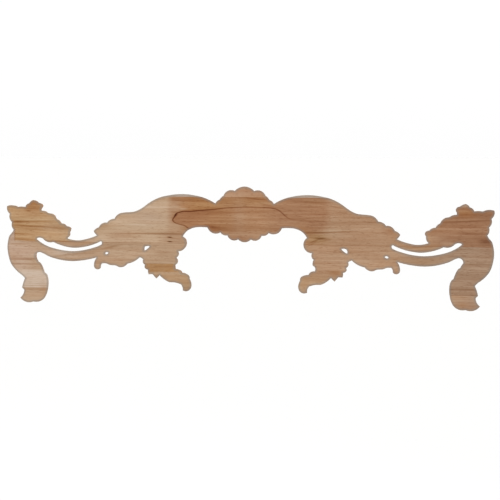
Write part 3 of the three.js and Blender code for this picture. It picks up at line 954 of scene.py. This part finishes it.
# The pores, and how much they and the grain darken the wood
def grained(tree, at):
    dark = 0.0
    for length, height, strength in wood["grain"]:
        reach = (length, wood["grainThrough"] * height, height)
        layer = maths(tree, "SUBTRACT", noise(tree, at["grain"], reach), 0.5)
        dark = maths(tree, "MULTIPLY_ADD", layer, strength, dark)
    length, height, strength = wood["pores"]
    pore = between(tree, noise(tree, at["grain"], (length, height, height), 1.0), *wood["poreLimits"])
    return pore, maths(tree, "MULTIPLY_ADD", pore, strength, dark)


# Each streak is moved a little by the darkness before it. This also keeps Cycles from running out of room
def streaked(tree, at, dark):
    for fromColumn, toColumn, fromRow, toRow, half, strength in wood["streaks"]:
        fromX, fromZ = onFlatSide(fromColumn, fromRow)
        toX, toZ = onFlatSide(toColumn, toRow)
        middle = ((fromX + toX) / 2, 0, (fromZ + toZ) / 2)
        reach = (wood["streakLength"] * abs(fromX - toX), wood["streakThrough"], half)
        angle = -math.atan2(fromZ - toZ, fromX - toX)
        aside = vectorMaths(tree, "MULTIPLY_ADD", dark, wood["streakYield"], at["figure"])
        dark = maths(tree, "MULTIPLY_ADD", patch(tree, aside, middle, reach, angle), strength, dark)
    return dark


# The long growth line, and the tone of the wood inside it
def growthLined(tree, at, tone, dark):
    away = add(tree, "Attribute", {}, attribute_name="growthGap").outputs["Fac"]
    near = maths(tree, "DIVIDE", away, wood["lineHalf"])
    line = maths(tree, "POWER", faded, maths(tree, "MULTIPLY", near, near))
    strength = maths(tree, "MULTIPLY", between(tree, at["across"], *wood["lineFade"]), wood["lineDark"])
    bold = maths(tree, "MULTIPLY_ADD", between(tree, at["across"], *wood["lineBold"]), 0.5, 0.5)
    low, high = wood["lineThin"]
    limits = {"Value": at["up"], "From Min": low, "From Max": high, "To Min": wood["lineLow"]}
    bold = maths(tree, "MULTIPLY", bold, add(tree, "MapRange", limits).outputs["Result"])
    dark = maths(tree, "MULTIPLY_ADD", maths(tree, "MULTIPLY", line, bold), strength, dark)
    inside = between(tree, away, *wood["insideSoft"])
    inside = maths(tree, "MULTIPLY", inside, between(tree, at["across"], *wood["insideAlong"]))
    tone = blend(tree, maths(tree, "MULTIPLY", inside, wood["insideShare"]), tone, wood["tones"]["tongue"])
    return tone, dark


def glueJoints(tree, at, dark):
    for joint in wood["joints"]:
        away = maths(tree, "ABSOLUTE", maths(tree, "SUBTRACT", at["up"], joint))
        dark = maths(tree, "MULTIPLY_ADD", between(tree, away, *wood["jointReach"]), wood["jointDark"], dark)
    return dark


# The finger joint: small teeth along the end grain of the left end leaf
def fingerJoint(tree, at, tone, dark):
    tooth = maths(tree, "PINGPONG", at["up"], wood["seamPitch"] / 2)
    seam = maths(tree, "MULTIPLY_ADD", tooth, wood["seamSlope"], wood["seamAt"] - wood["seamStart"])
    past = maths(tree, "SUBTRACT", at["across"], seam)
    height = between(tree, at["up"], *wood["seamBottom"])
    height = maths(tree, "MULTIPLY", height, between(tree, at["up"], *wood["seamTop"]))
    piece = maths(tree, "MULTIPLY", between(tree, past, *wood["seamSoft"]), height)
    tone = blend(tree, piece, tone, wood["tones"][wood["endPiece"]])
    line = between(tree, maths(tree, "ABSOLUTE", past), *wood["seamReach"])
    line = maths(tree, "MULTIPLY", line, height)
    return tone, maths(tree, "MULTIPLY_ADD", line, wood["seamDark"], dark)


# Painted shade darkens the carved side in its hollows, and painted light brightens its crests
def paintedHollowShadeAndCrestLight(tree, at, dark):
    crest, deep = wood["hollows"]
    hollow = add(tree, "MapRange", {
        "Value": add(tree, "Attribute", {}, attribute_name="hollow").outputs["Fac"],
        "From Min": crest,
        "From Max": deep,
        "To Min": wood["crestPaintedLight"],
        "To Max": wood["hollowPaintedShade"],
    }).outputs["Result"]
    # hollow here becomes the painted shade of the hollows and the painted light of the crests
    return maths(tree, "MULTIPLY_ADD", hollow, between(tree, at["depth"], *wood["carvedDepth"]), dark)


# The sawn edge shows the saw. Returns the marks, where they are, and the darkness with them
def sawMarked(tree, at, dark):
    steep = between(tree, maths(tree, "ABSOLUTE", at["facing"]), *wood["sawnTilt"])
    sawn = maths(tree, "MULTIPLY", steep, between(tree, at["depth"], *wood["sawnDepth"]))
    saw = noise(tree, at["spot"], wood["sawReach"], 1.0)
    marks = maths(tree, "MULTIPLY_ADD", saw, wood["sawShare"], wood["sawnDark"])
    return maths(tree, "MULTIPLY", saw, sawn), maths(tree, "MULTIPLY_ADD", sawn, marks, dark)


# Painted shade along the edge of the flat side, which eases off at the corner itself
def paintedEdgeShade(tree, at, colour):
    gap = add(tree, "Attribute", {}, attribute_name="edgeGap").outputs["Fac"]
    shadeEase = between(tree, gap, *wood["edgeShadeEaseReach"])
    shadeEase = maths(tree, "MULTIPLY_ADD", shadeEase, -wood["edgeShadeEaseShare"], 1.0)
    # rim holds the painted shade along the edge
    rim = between(tree, gap, *wood["edgeShadeReach"])
    rim = maths(tree, "MULTIPLY", rim, between(tree, at["depth"], *wood["edgeShadeDepth"]))
    rim = maths(tree, "MULTIPLY", maths(tree, "MULTIPLY", rim, shadeEase), wood["edgeShadeShare"])
    return blend(tree, rim, colour, wood["edgeShadeTone"])


def grainRelief(tree, at, pore, saw):
    length, height, strength = wood["grain"][2]
    lines = noise(tree, at["grain"], (length, height, wood["reliefThrough"] * height))
    level = maths(tree, "SUBTRACT", lines, maths(tree, "MULTIPLY", pore, wood["poreRelief"]))
    level = maths(tree, "MULTIPLY_ADD", saw, wood["sawRelief"], level)
    inputs = {"Height": level, "Distance": wood["grainRelief"], "Strength": 1.0}
    return add(tree, "Bump", inputs).outputs[0]


def makeWood():
    material = bpy.data.materials.new("bareWood")
    material.use_nodes = True
    tree = material.node_tree
    shader = tree.nodes["Principled BSDF"]
    at = woodPlaces(tree)

    tone = stained(tree, at, patched(tree, at, bandTones(tree, at)))
    tints = blend(tree, noise(tree, at["grain"], wood["tintReach"]), *wood["tints"])
    tone = blend(tree, wood["tintShare"], tone, tints, "MULTIPLY")

    # Everything that darkens the wood is summed up in one value, which becomes the power of its colour
    pore, dark = grained(tree, at)
    dark = streaked(tree, at, dark)
    tone, dark = growthLined(tree, at, tone, dark)
    dark = glueJoints(tree, at, dark)
    tone, dark = fingerJoint(tree, at, tone, dark)
    dark = paintedHollowShadeAndCrestLight(tree, at, dark)
    saw, dark = sawMarked(tree, at, dark)
    colour = add(tree, "Gamma", {"Color": tone, "Gamma": maths(tree, "ADD", 1.0, dark)}).outputs[0]
    tree.links.new(paintedEdgeShade(tree, at, colour), shader.inputs["Base Color"])

    roughness = maths(tree, "MULTIPLY_ADD", dark, wood["darkRoughness"], wood["roughness"])
    tree.links.new(roughness, shader.inputs["Roughness"])
    shader.inputs["Specular IOR Level"].default_value = wood["shine"]
    tree.links.new(grainRelief(tree, at, pore, saw), shader.inputs["Normal"])
    print("wood: bands, patches, figure, grain, pores, rim and relief")
    return material


makeStudio()
applique = makeApplique()
applique.data.materials.append(makeWood())
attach(applique, "root")
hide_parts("applique")
